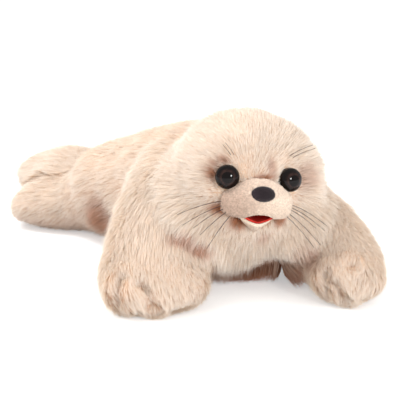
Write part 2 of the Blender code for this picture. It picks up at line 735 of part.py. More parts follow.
def whisker(name, start, end, diameter, carriers, material):
    """A stiff filament that tapers to its tip and arches a little on the way."""
    steps, around = WHISKER_STEPS, WHISKER_SIDES
    arch = Vector((0, 0, WHISKER_ARCH * (end - start).length))
    points = [start.lerp(end, step / steps) + arch * sin(pi * step / steps) for step in range(steps + 1)]
    work = bmesh.new()
    loops = []
    along = (end - start).normalized()
    side = along.orthogonal().normalized()
    up = along.cross(side)
    for step, point in enumerate(points):
        radius = diameter / 2 * (1.0 - WHISKER_TAPER * step / steps)
        turns = [2.0 * pi * turn / around for turn in range(around)]
        loops.append([work.verts.new(point + (side * cos(t) + up * sin(t)) * radius) for t in turns])
    for a, b in zip(loops, loops[1:]):
        for step in range(around):
            other = (step + 1) % around
            work.faces.new((a[step], a[other], b[other], b[step]))
    work.faces.new(list(reversed(loops[0])))
    work.faces.new(loops[-1])
    combine(solid(name, work, material), carriers)


def make_whiskers():
    material = finish("whisker", WHISKER_BROWN, 0.4)
    muzzle = (Vector((0, -MUZZLE_FORWARD, 0)), MUZZLE_SIZE / 2)
    head = (Vector((0, 0, 0)), HEAD_SIZE / 2)
    groups = (
        ("whisker_right", RIGHT_WHISKERS, WHISKER_LENGTH, WHISKER_DIAMETER, *muzzle),
        ("whisker_left", LEFT_WHISKERS, WHISKER_LENGTH, WHISKER_DIAMETER, *muzzle),
        ("brow_whisker_right", RIGHT_BROW_WHISKERS, BROW_WHISKER_LENGTH, BROW_WHISKER_DIAMETER, *head),
        ("brow_whisker_left", LEFT_BROW_WHISKERS, BROW_WHISKER_LENGTH, BROW_WHISKER_DIAMETER, *head),
    )
    for word, lines, length, diameter, middle, half in groups:
        for number, (shares, reach) in enumerate(lines, start=1):
            root = middle + Vector([share * size for share, size in zip(shares, half)])
            tip = root + Vector(reach) * length
            carriers = [muzzle_solid("muzzle_shape", SEAM_GAP), head_solid(SEAM_GAP)]
            whisker(f"{word}_{number}", head_place(*root), head_place(*tip), diameter, carriers, material)


start_empty()
make_body()
make_lining()
make_head()
make_face()
make_flippers()
make_whiskers()
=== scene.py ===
from math import cos, pi, radians, sin, sqrt

import bmesh
import bpy
import numpy as np
from mathutils import Matrix, Vector
from mathutils.bvhtree import BVHTree
from mathutils.kdtree import KDTree


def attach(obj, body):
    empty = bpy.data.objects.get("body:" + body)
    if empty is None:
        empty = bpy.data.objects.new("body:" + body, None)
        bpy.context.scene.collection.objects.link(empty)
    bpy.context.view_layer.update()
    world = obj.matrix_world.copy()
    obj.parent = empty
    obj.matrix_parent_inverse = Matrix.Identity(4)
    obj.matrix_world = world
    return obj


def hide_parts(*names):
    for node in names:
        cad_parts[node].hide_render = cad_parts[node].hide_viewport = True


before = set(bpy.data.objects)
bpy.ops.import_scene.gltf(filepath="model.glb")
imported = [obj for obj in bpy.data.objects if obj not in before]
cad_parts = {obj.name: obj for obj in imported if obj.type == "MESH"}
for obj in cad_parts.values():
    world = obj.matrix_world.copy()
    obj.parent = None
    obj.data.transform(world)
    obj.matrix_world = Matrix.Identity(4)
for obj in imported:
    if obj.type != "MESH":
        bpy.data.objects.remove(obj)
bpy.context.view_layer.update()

MM = 0.001
BODY = "root"

# Camera, light and floor
CAMERA_PLACE = (-0.25525, -1.07885, 0.33698)
CAMERA_AIM = (-0.03334, -0.03485, 0.07087)
CAMERA_LENS = 112.5
CAMERA_SENSOR = 36.0
LAMP_AIM = (0.0, 0.0, 0.05)
CATCH_AIM = (0.0, 0.0, 0.1)
WORLD_COLOUR = (1.0, 0.98, 0.96, 1.0)
WORLD_LIGHT = 0.82
WORLD_SEEN = 1.0
FLOOR_SIZE = 12.0
FLOOR_GLOW = 0.45

# Head, as in the part's source
HEAD_CENTRE = Vector((-3.0, -70.0, 93.0)) * MM
HEAD_HALF = Vector((63.0, 54.0, 63.0)) * MM
HEAD_TILT = radians(5.5)
MUZZLE_OFFSET = (0.0, -52.0 * MM, -4.0 * MM)

# Eyes
EYE_SPACING = 53.5 * MM
EYE_HEIGHT = 14.5 * MM
EYE_RADIUS = 10.0 * MM
EYE_DOME = 7.0 * MM
EYE_SINK = 2.6 * MM
EYE_FACING = 0.8
EYE_STEM_RADIUS = 2.5 * MM
EYE_STEM_END = 13.0 * MM
EYE_STEPS = 14
EYE_SIDES = 48
EYE_EDGE = radians(50)

# Coat: the cloth that the fur grows from, a little inside the covers' outline
COAT_VOXEL = 3.6 * MM
COAT_SMOOTHING = 9
COAT_INSET = 3.5 * MM
COAT_INSET_ZONE = (2.0 * MM, 4.5 * MM)
COAT_SEED = 40
MOUTH_CLEAR = 4.0 * MM
# its joins are filled, and smoothed where a second cover is near
JOIN_FILL = 9.0 * MM
JOIN_SMOOTHING = 110
JOIN_ZONE = (6.0 * MM, 26.0 * MM)
INNER_ZONE = (1.0 * MM, 3.0 * MM)
# it sinks in at the digits' creases, and rises between them
CREASE_DEPTH = 6.5 * MM
CREASE_REACH = 4.0 * MM
DIGIT_RISE = 3.0 * MM
DIGIT_MIDDLE = 10.0 * MM
DIGIT_REACH = 5.0 * MM
# no fur grows on its inner side, or where it lies on the table
INNER_DEPTH = 2.6 * MM
RESTING_HEIGHT = 2.0 * MM
COAT_NODES = (
    "body_cover",
    "head_cover",
    "front_flipper_right",
    "front_flipper_left",
    "rear_flipper_right",
    "rear_flipper_left",
)

# Strands of fur
STRAND_COUNTS = {
    "body_cover": 66000,
    "head_cover": 66000,
    "front_flipper_right": 58000,
    "front_flipper_left": 58000,
    "rear_flipper_right": 18000,
    "rear_flipper_left": 18000,
    "muzzle": 12000,
    "chin": 1500,
}
STRAND_WIDTH = 0.44 * MM
STRAND_WIDTH_SPREAD = (0.8, 1.25)
STRAND_MIDDLE_SHARE = 0.84
STRAND_ROLL = 0.85
SKIN_SHADING = 0.7
ROOT_SINK = 0.4 * MM
TABLE_GAP = 0.4 * MM
TUFT_STRANDS = 12
TUFT_PULL = (0.1, 0.45)
TUFT_MIDDLE_SHARE = 0.45
STRAY_SHARE = 0.2
STRAY_PULL = 0.1
STRAY_LIFT = radians(22)
STRAY_WIDTH_SHARE = 0.55

# How far the fur stands off the skin, and how much less it does so where the skin faces up
FUR_LIFT = radians(26)
FUR_LIFTS = {
    "head_cover": radians(35),
    "rear_flipper_left": radians(44),
    "rear_flipper_right": radians(32),
}
FUR_LIFT_SPREAD = radians(7)
TOP_LIFT_LOSS = radians(15)
TOP_LIFT_LOSSES = {"head_cover": radians(4), "rear_flipper_left": radians(4)}
TOP_ZONE = (0.35, 0.9)

# How the fur lies and bends
DOWN = np.array((0.0, 0.0, -1.0))
FUR_DROOP = 0.45
HEAD_DROOP = (0.1, 1.0)
HEAD_DROOP_ZONE = (-10.0 * MM, 25.0 * MM)
SHOULDER_WAYS = {"front_flipper_right": (-1.0, 0.8, -0.3), "front_flipper_left": (1.0, 0.8, -0.3)}
SHOULDER_ZONE = (-75.0 * MM, -15.0 * MM)
BROAD_WAVE = 70.0 * MM
BROAD_SWAY = 0.25
BROAD_SEED = 11
FINE_WAVE = 18.0 * MM
FINE_SWAY = 0.12
FINE_SEED = 12
STRAND_SWAY = 0.07
HANG_PULL = 2.0
BEND_ALONG = 0.6
BEND_DOWN = 0.2
BEND_IN = 0.12

# The fringe of the chest, which hangs to the table between the front flippers
FRINGE = ((14, -62, 20), (38, 26, 28))
CHEST_ZONE = (15.0 * MM, 45.0 * MM)
CHEST_HEIGHT = 52.0 * MM
CHEST_FADE = 20.0 * MM
HANG_SLOPE = 1.2
HANG_EXTRA = 4.0 * MM

# How long the fur is
FUR_LENGTH = 15.0 * MM
HEAD_FUR_LENGTH = 12.0 * MM
REAR_RIGHT_FUR_LENGTH = 12.0 * MM
LENGTH_SPREAD = (0.75, 1.15)
LENGTH_WAVE = 30.0 * MM
LENGTH_SWAY = 0.2
LENGTH_SEED = 21
PILE_LENGTHS = (0.5 * MM, 1.4 * MM)
PILE_ZONE = (3.0 * MM, 9.0 * MM)
BIB_EXTRA = 3.0 * MM
BIB_MIDDLE_EXTRA = 12.0 * MM
BIB_MIDDLE = -12.0 * MM
BIB_MIDDLE_REACH = 18.0 * MM
BIB_ZONE = (18.0 * MM, 40.0 * MM)
CHEEK_EXTRA = 7.0 * MM
CHEEK_ZONE = (34.0 * MM, 55.0 * MM)
CHEEK_TOP = 12.0 * MM
CHEEK_FADE = 25.0 * MM
LEFT_SIDE_EXTRA = 8.0 * MM
LEFT_SIDE_ZONE = (25.0 * MM, 50.0 * MM)
LEFT_SIDE_HEIGHTS = (-20.0 * MM, 10.0 * MM)
FACE_SHARE = 0.45
FACE_ZONE = (28.0 * MM, 50.0 * MM)
EYE_ZONE = (11.0 * MM, 22.0 * MM)
LEFT_EYE_EDGE = ((13, -119, 104), (6, 12, 10))
LEFT_EYE_EDGE_EXTRA = 6.0 * MM
PAW_SHARE = 0.6
PAW_ZONE = (95.0 * MM, 135.0 * MM)
CREASE_SHARE = 0.6
CREASE_ZONE = (1.0 * MM, 8.0 * MM)

# Short pile: how far it starts from the neighbours' edges and from the mouth lining
PILE_CLEAR = 0.8 * MM
LIP_CLEAR = 2.5 * MM
PILE_SEED = 60

# The middle lines that the fur follows, in mm
LINES = {
    "body_cover": (
        (0, -80, 60), (-4, -18, 60), (-14, 22, 60), (-32, 64, 58),
        (-58, 104, 52), (-86, 136, 45), (-108, 160, 38),
    ),
    "front_flipper_right": (
        (-44, 26, 84), (-55, -6, 78), (-69, -42, 56), (-81, -76, 37), (-87, -108, 24), (-87, -146, 14),
    ),
    "front_flipper_left": (
        (30, 6, 56), (52, -22, 52), (67, -54, 41), (75, -88, 31), (76, -120, 23), (71, -154, 14),
    ),
    "rear_flipper_right": (
        (-92, 128, 30), (-114, 146, 27), (-139, 164, 23), (-163, 180, 22), (-181, 192, 20),
    ),
    "rear_flipper_left": (
        (-86, 164, 42), (-108, 188, 47), (-130, 210, 47), (-150, 228, 43), (-162, 242, 39),
    ),
}

# Where the fur is brown, mostly as painted shade in hollows, creases and under overhangs, and in a few tan
# patches of its own: place and reach in mm, and how brown
TAN_AND_SHADE_SPOTS = (
    # beside and above the right eye: painted shade in its socket
    ((-37, -113, 111), (4.5, 9, 7), 1.0),
    ((-35, -114, 118), (5, 9, 4.5), 1.0),
    ((-29, -115, 121), (6, 9, 4), 0.95),
    # beside the left eye
    ((37, -108, 103), (9, 12, 11), 0.36),
    # cheek crease: painted shade
    ((-33, -117, 84), (9, 10, 5), 1.0),
    # bridge of the nose, and the streak above it
    ((2, -123, 106), (10, 8, 3), 1.0),
    ((7, -119, 114), (3.5, 10, 9), 0.42),
    # both sides of the chin, and below it: painted shade
    ((-17, -118, 74), (8, 10, 7), 0.95),
    ((16, -118, 73), (6, 10, 6), 0.85),
    ((4, -114, 58), (7, 9, 6), 0.30),
    # between the front flippers, behind the bib: painted shade
    ((10, -60, 18), (44, 32, 24), 1.0),
    # under the right cheek: painted shade
    ((-62, -99, 60), (13, 14, 6), 0.65),
    ((-50, -98, 52), (12, 16, 7), 0.75),
    ((-34, -72, 38), (12, 20, 11), 0.75),
    # under the left cheek, and the inner side of the left flipper: painted shade
    ((41, -88, 44), (10, 15, 14), 0.70),
    ((46, -108, 38), (8, 14, 12), 0.45),
    ((38, -80, 22), (11, 18, 15), 0.55),
    # where the body meets the table and the rear flippers: painted shade
    ((-104, 68, 28), (14, 26, 26), 0.75),
    ((-126, 118, 8), (40, 26, 10), 0.20),
)
# Painted shade in the digits' creases and dimples: how brown, and its reach
CREASE_SHADE = 0.2
CREASE_SHADE_REACH = 3.0 * MM
# Painted shade: fur is browner where its skin faces down, on the body and rear flippers
UNDERSIDE_SHADE = 0.2
UNDERSIDE_SHADE_ZONE = (0.0, 0.8)
# Painted light: the fur's root is lighter as its skin faces up, over this span of the facing's height
LIT_TOP_ZONE = (-0.1, 0.7)

# The ends of the sewn creases between the digits, and the tack stitches' dimples, in mm
CREASES = (
    ((-118, -128, 34), (-123, -134, 12)),
    ((-100, -140, 31), (-94, -148, 8)),
    ((50, -135, 31), (49, -139, 14)),
    ((54, -142, 24), (62, -150, 8)),
)
DIMPLES = ((-101, -138, 34), (72, -140, 38))

# One strand: its points' places on its own patch, root to tip, and the corners of its two faces
STRAND_UV = np.array(((0.2, 0.1), (0.8, 0.1), (0.8, 0.5), (0.2, 0.5), (0.5, 0.9)))
STRAND_ALONG = (0.0, 0.0, 0.5, 0.5, 1.0)
STRAND_CORNERS = np.array((0, 1, 2, 3, 3, 2, 4))
STRAND_FACES = np.array((0, 4))

# The sockets of a Mix node that mixes colours
MIX_SHARE = 0
MIX_LOW = 6
MIX_HIGH = 7
MIX_COLOUR = 2


def srgb(red, green, blue):
    """A colour given as it looks on a screen, 0 to 255, in the light values that shaders take."""
    values = []
    for value in (red, green, blue):
        share = value / 255
        values.append(share / 12.92 if share <= 0.04045 else ((share + 0.055) / 1.055) ** 2.4)
    return (*values, 1.0)


# Colours
# Fur roots: the root's own tan deepened as painted shade where the skin faces down, and a pale root as
# painted light where it faces up
FUR_SHADED_ROOT = srgb(214, 174, 140)
FUR_LIT_ROOT = srgb(246, 234, 221)
FUR_MIDDLE = srgb(248, 235, 220)
FUR_TIP = srgb(255, 252, 247)
# Brown for the fur's tan patches and for painted shade in hollows, creases and under overhangs
FUR_TAN_AND_SHADE_ROOT = srgb(150, 86, 46)
FUR_TAN_AND_SHADE_TIP = srgb(206, 134, 82)
FUR_BEHIND = srgb(255, 246, 236)
BACKING_LOW = srgb(228, 198, 170)
BACKING_HIGH = srgb(240, 214, 190)
# The backing's brown, for tan patches and painted shade
BACKING_TAN_AND_SHADE = srgb(124, 66, 34)
MUZZLE_LOW = srgb(220, 198, 180)
MUZZLE_HIGH = srgb(234, 214, 196)
MUZZLE_TIP = srgb(244, 228, 210)
# Painted shade on the muzzle's right side
MUZZLE_SHADED_SIDE = srgb(196, 168, 150)
CHIN_LOW = srgb(240, 222, 200)
CHIN_HIGH = srgb(248, 234, 214)
CHIN_TIP = srgb(252, 242, 226)
FELT_LOW = srgb(176, 46, 38)
FELT_HIGH = srgb(200, 66, 54)
FLOCK_LOW = srgb(28, 20, 24)
FLOCK_HIGH = srgb(42, 32, 37)
IRIS_LOW = srgb(26, 14, 12)
IRIS_HIGH = srgb(48, 31, 27)
PUPIL = srgb(8, 3, 3)
FILAMENT_LOW = srgb(44, 30, 26)
FILAMENT_HIGH = srgb(84, 58, 48)
CLOTH_LOW = srgb(170, 138, 112)
CLOTH_HIGH = srgb(205, 176, 148)
FIBRE_LOW = srgb(214, 208, 200)
FIBRE_HIGH = srgb(244, 241, 236)
WASHER_LOW = srgb(216, 214, 208)
WASHER_HIGH = srgb(238, 236, 230)
FLOOR_GREY = srgb(225, 225, 225)


class Socket:
    """One output of a node, which takes part in sums written as Python."""

    def __init__(self, finish, output):
        self.finish = finish
        self.output = output

    def sum(self, operation, *values):
        return self.finish.node("ShaderNodeMath", {"operation": operation}, dict(enumerate(values)))

    def __add__(self, other):
        return self.sum("ADD", self, other)

    def __sub__(self, other):
        return self.sum("SUBTRACT", self, other)

    def __mul__(self, other):
        return self.sum("MULTIPLY", self, other)

    def __truediv__(self, other):
        return self.sum("DIVIDE", self, other)

    def __rsub__(self, other):
        return self.sum("SUBTRACT", other, self)

    def __rtruediv__(self, other):
        return self.sum("DIVIDE", other, self)

    __radd__ = __add__
    __rmul__ = __mul__

    def between(self, low, high):
        """0 up to low, 1 from high, and a smooth rise between them."""
        settings = {"interpolation_type": "SMOOTHSTEP"}
        return self.finish.node("ShaderNodeMapRange", settings, {0: self, 1: low, 2: high})


class Finish:
    """A material made of nodes."""

    def __init__(self, name, **constants):
        self.material = bpy.data.materials.new(name)
        self.material.use_nodes = True
        self.tree = self.material.node_tree
        self.shader = self.tree.nodes["Principled BSDF"]
        self.end = self.tree.nodes["Material Output"]
        self.set(**constants)

    def put(self, socket, value):
        """Link a socket to a value that is one, or set it."""
        if isinstance(value, Socket):
            self.tree.links.new(value.output, socket)
        else:
            socket.default_value = value

    def node(self, kind, settings=None, values=None, output=0):
        """Add a node with its settings first and then its sockets, and give one of its outputs."""
        node = self.tree.nodes.new(kind)
        for name, value in (settings or {}).items():
            setattr(node, name, value)
        for name, value in (values or {}).items():
            self.put(node.inputs[name], value)
        return Socket(self, node.outputs[output])

    def set(self, **values):
        """Set the shader's own sockets, or link them."""
        for name, value in values.items():
            self.put(self.shader.inputs[name.replace("_", " ").title().replace("Ior", "IOR")], value)

    def mix(self, share, low, high):
        """A colour from low to high as share goes from 0 to 1."""
        values = {MIX_SHARE: share, MIX_LOW: low, MIX_HIGH: high}
        return self.node("ShaderNodeMix", {"data_type": "RGBA"}, values, MIX_COLOUR)

    def tint(self, colour, tone):
        """One colour times another."""
        settings = {"data_type": "RGBA", "blend_type": "MULTIPLY"}
        values = {MIX_SHARE: 1.0, MIX_LOW: colour, MIX_HIGH: tone}
        return self.node("ShaderNodeMix", settings, values, MIX_COLOUR)

    def shade(self, colour, amount):
        """A colour times a number."""
        grey = self.node("ShaderNodeCombineColor", None, {0: amount, 1: amount, 2: amount})
        return self.tint(colour, grey)

    def place(self):
        """The place on the piece, in its own axes."""
        return self.node("ShaderNodeTexCoord", output="Object")

    def stretched(self, place, stretch):
        return self.node("ShaderNodeVectorMath", {"operation": "MULTIPLY"}, {0: place, 1: stretch})

    def noise(self, scale, detail, stretch=None):
        place = self.place()
        if stretch is not None:
            place = self.stretched(place, stretch)
        return self.node("ShaderNodeTexNoise", None, {"Vector": place, "Scale": scale, "Detail": detail})

    def field(self, name):
        """A value that the mesh carries at each point."""
        return self.node("ShaderNodeAttribute", {"attribute_name": name}, output="Fac")

    def let_through(self, share, colour):
        """Let a share of the light come through from behind, as fine hair does."""
        behind = self.node("ShaderNodeBsdfTranslucent", None, {"Color": colour})
        front = Socket(self, self.shader.outputs["BSDF"])
        mixed = self.node("ShaderNodeMixShader", None, {0: share, 1: front, 2: behind})
        self.put(self.end.inputs["Surface"], mixed)

    def bump(self, height, distance, strength):
        values = {"Height": height, "Distance": distance, "Strength": strength}
        self.set(normal=self.node("ShaderNodeBump", None, values))


def fur_finish():
    """Hair that is paler towards its tip; at its root it is painted lighter where the skin faces up and
    darker where it faces down, as painted light and shade, and it turns brown in tan patches and in painted
    shade.
    """
    finish = Finish("long_fur", roughness=0.75, specular_ior_level=0.25)
    along, tone, tan_and_shade, lit_top = (finish.field(name) for name in ("along", "tone", "tan_and_shade", "lit_top"))
    # The root is painted darker where the skin faces down and lighter where it faces up: painted shade and
    # light
    root = finish.mix(lit_top, FUR_SHADED_ROOT, FUR_LIT_ROOT)
    colour = finish.mix(along.between(0.0, 0.45), root, FUR_MIDDLE)
    colour = finish.mix(along.between(0.35, 1.0), colour, FUR_TIP)
    # Brown for tan patches and painted shade, darker at the root
    tan_and_shade_colour = finish.mix(along.between(0.1, 1.0), FUR_TAN_AND_SHADE_ROOT, FUR_TAN_AND_SHADE_TIP)
    colour = finish.mix(tan_and_shade, colour, tan_and_shade_colour)
    drift = finish.noise(scale=28.0, detail=2.0)
    colour = finish.shade(colour, 0.90 + 0.11 * tone + 0.10 * (drift - 0.5))
    finish.set(base_color=colour)
    finish.let_through(0.45, finish.tint(colour, FUR_BEHIND))
    return finish.material


def backing_finish():
    """The cloth that the fur grows from."""
    finish = Finish("fur_backing", roughness=0.95, specular_ior_level=0.1)
    tan_and_shade = finish.field("tan_and_shade")
    grain = finish.noise(scale=900.0, detail=2.0)
    patch = finish.noise(scale=45.0, detail=3.0)
    colour = finish.mix(patch.between(0.35, 0.7), BACKING_LOW, BACKING_HIGH)
    # Brown where the fur has tan patches and painted shade
    colour = finish.mix(tan_and_shade, colour, BACKING_TAN_AND_SHADE)
    finish.set(base_color=finish.shade(colour, 0.85 + 0.3 * grain))
    finish.bump(grain, distance=0.6 * MM, strength=0.6)
    return finish.material


def pile_finish(name, low, high, tip, side=None):
    """A short soft pile, with a knit ground showing through; its right side may be painted darker, as shade.
    """
    finish = Finish(name, roughness=0.9, specular_ior_level=0.15, sheen_weight=0.25, sheen_roughness=0.5)
    tone = finish.field("tone")
    loops = finish.noise(scale=620.0, detail=3.0)
    nap = finish.noise(scale=260.0, detail=3.0, stretch=(1.0, 1.0, 0.6))
    patch = finish.noise(scale=38.0, detail=2.0)
    colour = finish.mix(patch.between(0.3, 0.75), low, high)
    colour = finish.mix(nap.between(0.55, 0.8), colour, tip)
    # On the right side, towards negative x, the colour turns to the side colour: painted shade
    if side is not None:
        across = finish.node("ShaderNodeSeparateXYZ", None, {0: finish.place()})
        colour = finish.mix((0.25 * patch + across * 12.0).between(-0.35, 0.2), side, colour)
    # The ground carries no tone and so comes out darker than the strands: painted shade between the pile
    shade = 0.76 + 0.20 * loops.between(0.35, 0.65) + 0.20 * tone
    finish.set(base_color=finish.shade(colour, shade))
    finish.bump(0.6 * loops + 0.4 * nap, distance=1.0 * MM, strength=0.9)
    return finish.material


def felt_finish():
    """The mouth's red felt."""
    finish = Finish("red_felt", roughness=0.95, specular_ior_level=0.1)
    fibres = finish.noise(scale=700.0, detail=4.0)
    mat = finish.noise(scale=120.0, detail=2.0)
    colour = finish.mix(mat.between(0.3, 0.7), FELT_LOW, FELT_HIGH)
    finish.set(base_color=finish.shade(colour, 0.8 + 0.4 * fibres))
    finish.bump(fibres, distance=0.4 * MM, strength=0.7)
    return finish.material


def flock_finish():
    """The nose's dark flock."""
    sheen = {"sheen_weight": 0.35, "sheen_roughness": 0.4}
    finish = Finish("nose_flock", roughness=0.85, specular_ior_level=0.25, **sheen)
    grain = finish.noise(scale=1600.0, detail=2.0)
    wear = finish.noise(scale=90.0, detail=2.0)
    colour = finish.mix(wear.between(0.3, 0.7), FLOCK_LOW, FLOCK_HIGH)
    finish.set(base_color=finish.shade(colour, 0.75 + 0.5 * grain))
    finish.bump(grain, distance=0.25 * MM, strength=0.8)
    return finish.material


def eye_finish():
    """A clear dome over a dark iris: the colour goes by the distance from the eye's own axis."""
    finish = Finish("eye_plastic", roughness=0.05, specular_ior_level=0.20)
    flat = finish.stretched(finish.place(), (1.0, 1.0, 0.0))
    length = finish.node("ShaderNodeVectorMath", {"operation": "LENGTH"}, {0: flat}, "Value")
    radius = length / EYE_RADIUS
    streaks = finish.noise(scale=420.0, detail=2.0)
    iris = finish.mix(streaks.between(0.3, 0.7), IRIS_LOW, IRIS_HIGH)
    ring = radius.between(0.42, 0.52) * (1.0 - radius.between(0.54, 0.80))
    finish.set(base_color=finish.mix(ring, PUPIL, iris))
    return finish.material


def filament_finish():
    """The whiskers' stiff filament."""
    finish = Finish("whisker_filament", roughness=0.35, specular_ior_level=0.5)
    bands = finish.noise(scale=120.0, detail=2.0)
    finish.set(base_color=finish.mix(bands, FILAMENT_LOW, FILAMENT_HIGH))
    return finish.material


def weave_finish():
    """The glove lining's woven cloth."""
    finish = Finish("lining_cloth", roughness=0.8, specular_ior_level=0.2)
    threads = finish.noise(scale=1100.0, detail=1.0, stretch=(1.0, 0.25, 1.0))
    cross = finish.noise(scale=1100.0, detail=1.0, stretch=(0.25, 1.0, 0.25))
    weave = 0.5 * threads + 0.5 * cross
    finish.set(base_color=finish.mix(weave.between(0.3, 0.7), CLOTH_LOW, CLOTH_HIGH))
    finish.bump(weave, distance=0.3 * MM, strength=0.6)
    return finish.material


def fibre_finish():
    """The white fibre of the stuffing."""
    finish = Finish("fibre_fill", roughness=1.0, specular_ior_level=0.1)
    fluff = finish.noise(scale=160.0, detail=4.0)
    finish.set(base_color=finish.mix(fluff.between(0.3, 0.7), FIBRE_LOW, FIBRE_HIGH))
    finish.bump(fluff, distance=2.0 * MM, strength=0.8)
    return finish.material


def washer_finish():
    """The lock washers' milky plastic."""
    finish = Finish("washer_plastic", roughness=0.45)
    cloud = finish.noise(scale=200.0, detail=2.0)
    finish.set(base_color=finish.mix(cloud, WASHER_LOW, WASHER_HIGH))
    finish.bump(cloud, distance=0.1 * MM, strength=0.3)
    return finish.material


def keep(node, material):
    """A CAD node that stays in sight, with its own finish."""
    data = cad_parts[node].data
    data.materials.clear()
    data.materials.append(material)


def head_turn():
    return Matrix.Rotation(HEAD_TILT, 3, "Y")


def head_place(x, y, z):
    """A point given from the head's middle."""
    return HEAD_CENTRE + head_turn() @ Vector((x, y, z))


MUZZLE_CENTRE = np.array(head_place(*MUZZLE_OFFSET))


def eye_matrix(side):
    """The eye's middle lies on the fur, and looks a little less sideways than the fur does."""
    x, z = side * EYE_SPACING / 2, EYE_HEIGHT
    a, b, c = HEAD_HALF
    y = -b * sqrt(1.0 - (x / a) ** 2 - (z / c) ** 2)
    way = Vector((x / a ** 2, y / b ** 2, z / c ** 2)).normalized()
    way = (way + Vector((0, -EYE_FACING, 0))).normalized()
    turn = head_turn() @ way.to_track_quat("Z", "Y").to_matrix()
    return Matrix.Translation(head_place(x, y, z)) @ turn.to_4x4()


def tree_of(*names):
    """The surfaces of CAD nodes, for nearest points."""
    points, faces = [], []
    for name in names:
        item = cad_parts[name]
        start = len(points)
        points += [item.matrix_world @ vertex.co for vertex in item.data.vertices]
        faces += [[start + index for index in face.vertices] for face in item.data.polygons]
    return BVHTree.FromPolygons(points, faces)


def distances(tree, points):
    """How far each point is from a surface."""
    return np.array([tree.find_nearest(Vector(point))[3] for point in points])


def made_mesh(name, work):
    """The mesh of a finished bmesh, which is freed."""
    mesh = bpy.data.meshes.new(name)
    work.to_mesh(mesh)
    work.free()
    return mesh


def join_nodes(names):
    """One mesh of several CAD nodes."""
    work = bmesh.new()
    for name in names:
        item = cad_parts[name]
        spare = item.data.copy()
        spare.transform(item.matrix_world)
        work.from_mesh(spare)
        bpy.data.meshes.remove(spare)
    return made_mesh("coat_form", work)


def applied(mesh, *steps):
    """A mesh with modifiers worked into it."""
    item = bpy.data.objects.new("work", mesh)
    bpy.context.scene.collection.objects.link(item)
    for kind, settings in steps:
        step = item.modifiers.new(kind, kind)
        for name, value in settings.items():
            setattr(step, name, value)
    graph = bpy.context.evaluated_depsgraph_get()
    result = bpy.data.meshes.new_from_object(item.evaluated_get(graph))
    bpy.data.objects.remove(item, do_unlink=True)
    return result


def piece(name, mesh, material, replaces=(), matrix=None):
    """A shown piece that rides on the puppet."""
    item = bpy.data.objects.new(name, mesh)
    mesh.name = name
    mesh.materials.clear()
    mesh.materials.append(material)
    bpy.context.scene.collection.objects.link(item)
    if matrix is not None:
        item.matrix_world = matrix
    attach(item, BODY)
    if replaces:
        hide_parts(*replaces)
    return item


def arrays(mesh):
    """A mesh's points, vertex normals and triangles."""
    points = np.empty(len(mesh.vertices) * 3)
    mesh.vertices.foreach_get("co", points)
    normals = np.empty(len(mesh.vertices) * 3)
    mesh.vertices.foreach_get("normal", normals)
    mesh.calc_loop_triangles()
    corners = np.empty(len(mesh.loop_triangles) * 3, dtype=np.int64)
    mesh.loop_triangles.foreach_get("vertices", corners)
    return points.reshape(-1, 3), normals.reshape(-1, 3), corners.reshape(-1, 3)


def move_points(mesh, points):
    """Give a mesh new points, none of them under the table."""
    points[:, 2] = np.maximum(points[:, 2], 0.0)
    mesh.vertices.foreach_set("co", points.ravel())
    mesh.update()


def add_field(mesh, name, values):
    mesh.attributes.new(name, "FLOAT", "POINT").data.foreach_set("value", values)


def unit(vectors):
    return vectors / np.maximum(np.linalg.norm(vectors, axis=1, keepdims=True), 1e-9)


def dot(a, b):
    return (a * b).sum(axis=1, keepdims=True)


def rise(values, low, high):
    """0 up to low, 1 from high, and a smooth rise between them."""
    share = np.clip((values - low) / (high - low), 0.0, 1.0)
    return share * share * (3.0 - 2.0 * share)


def blend(low, high, share):
    """From low to high as share goes from 0 to 1."""
    return low + (high - low) * share


def hump(values, reach):
    """1 at 0, and less towards the reach, like a bell."""
    return np.exp(-(values / reach) ** 2)


def offsets(points, place, reach):
    """Each point's squared distance from a place, counted in reaches along x, y and z; both in mm."""
    off = (points - np.array(place) * MM) / (np.array(reach) * MM)
    return (off ** 2).sum(axis=1)


def wander(points, wavelength, seed, waves=7):
    """A smooth random vector at each point, about 1 long."""
    draw = np.random.default_rng(seed)
    total = np.zeros((len(points), 3))
    for _ in range(waves):
        way = draw.normal(size=3)
        way *= 2.0 * pi / wavelength / np.linalg.norm(way)
        push = draw.normal(size=3)
        total += np.sin(points @ way + draw.uniform(0.0, 2.0 * pi))[:, None] * push
    return total * sqrt(2.0 / waves) / sqrt(3.0)


def line_way(line, points):
    """The way along a middle line, at each point's y."""
    line = np.array(line, dtype=float) * MM
    ways = unit(np.diff(line, axis=0))
    middles = (line[1:, 1] + line[:-1, 1]) / 2
    order = np.argsort(middles)
    columns = [np.interp(points[:, 1], middles[order], ways[order, axis]) for axis in range(3)]
    return unit(np.stack(columns, axis=1))


def crease_distance(points):
    """How far each point is from the nearest crease or dimple."""
    flippers = tree_of("front_flipper_right", "front_flipper_left")
    nearest = np.full(len(points), 1.0)
    for ends in CREASES + tuple((place, place) for place in DIMPLES):
        start, end = (np.array(flippers.find_nearest(Vector(place) * MM)[0]) for place in ends)
        run = end - start
        share = np.clip((points - start) @ run / max(run @ run, 1e-12), 0.0, 1.0)
        nearest = np.minimum(nearest, np.linalg.norm(points - start - share[:, None] * run, axis=1))
    return nearest


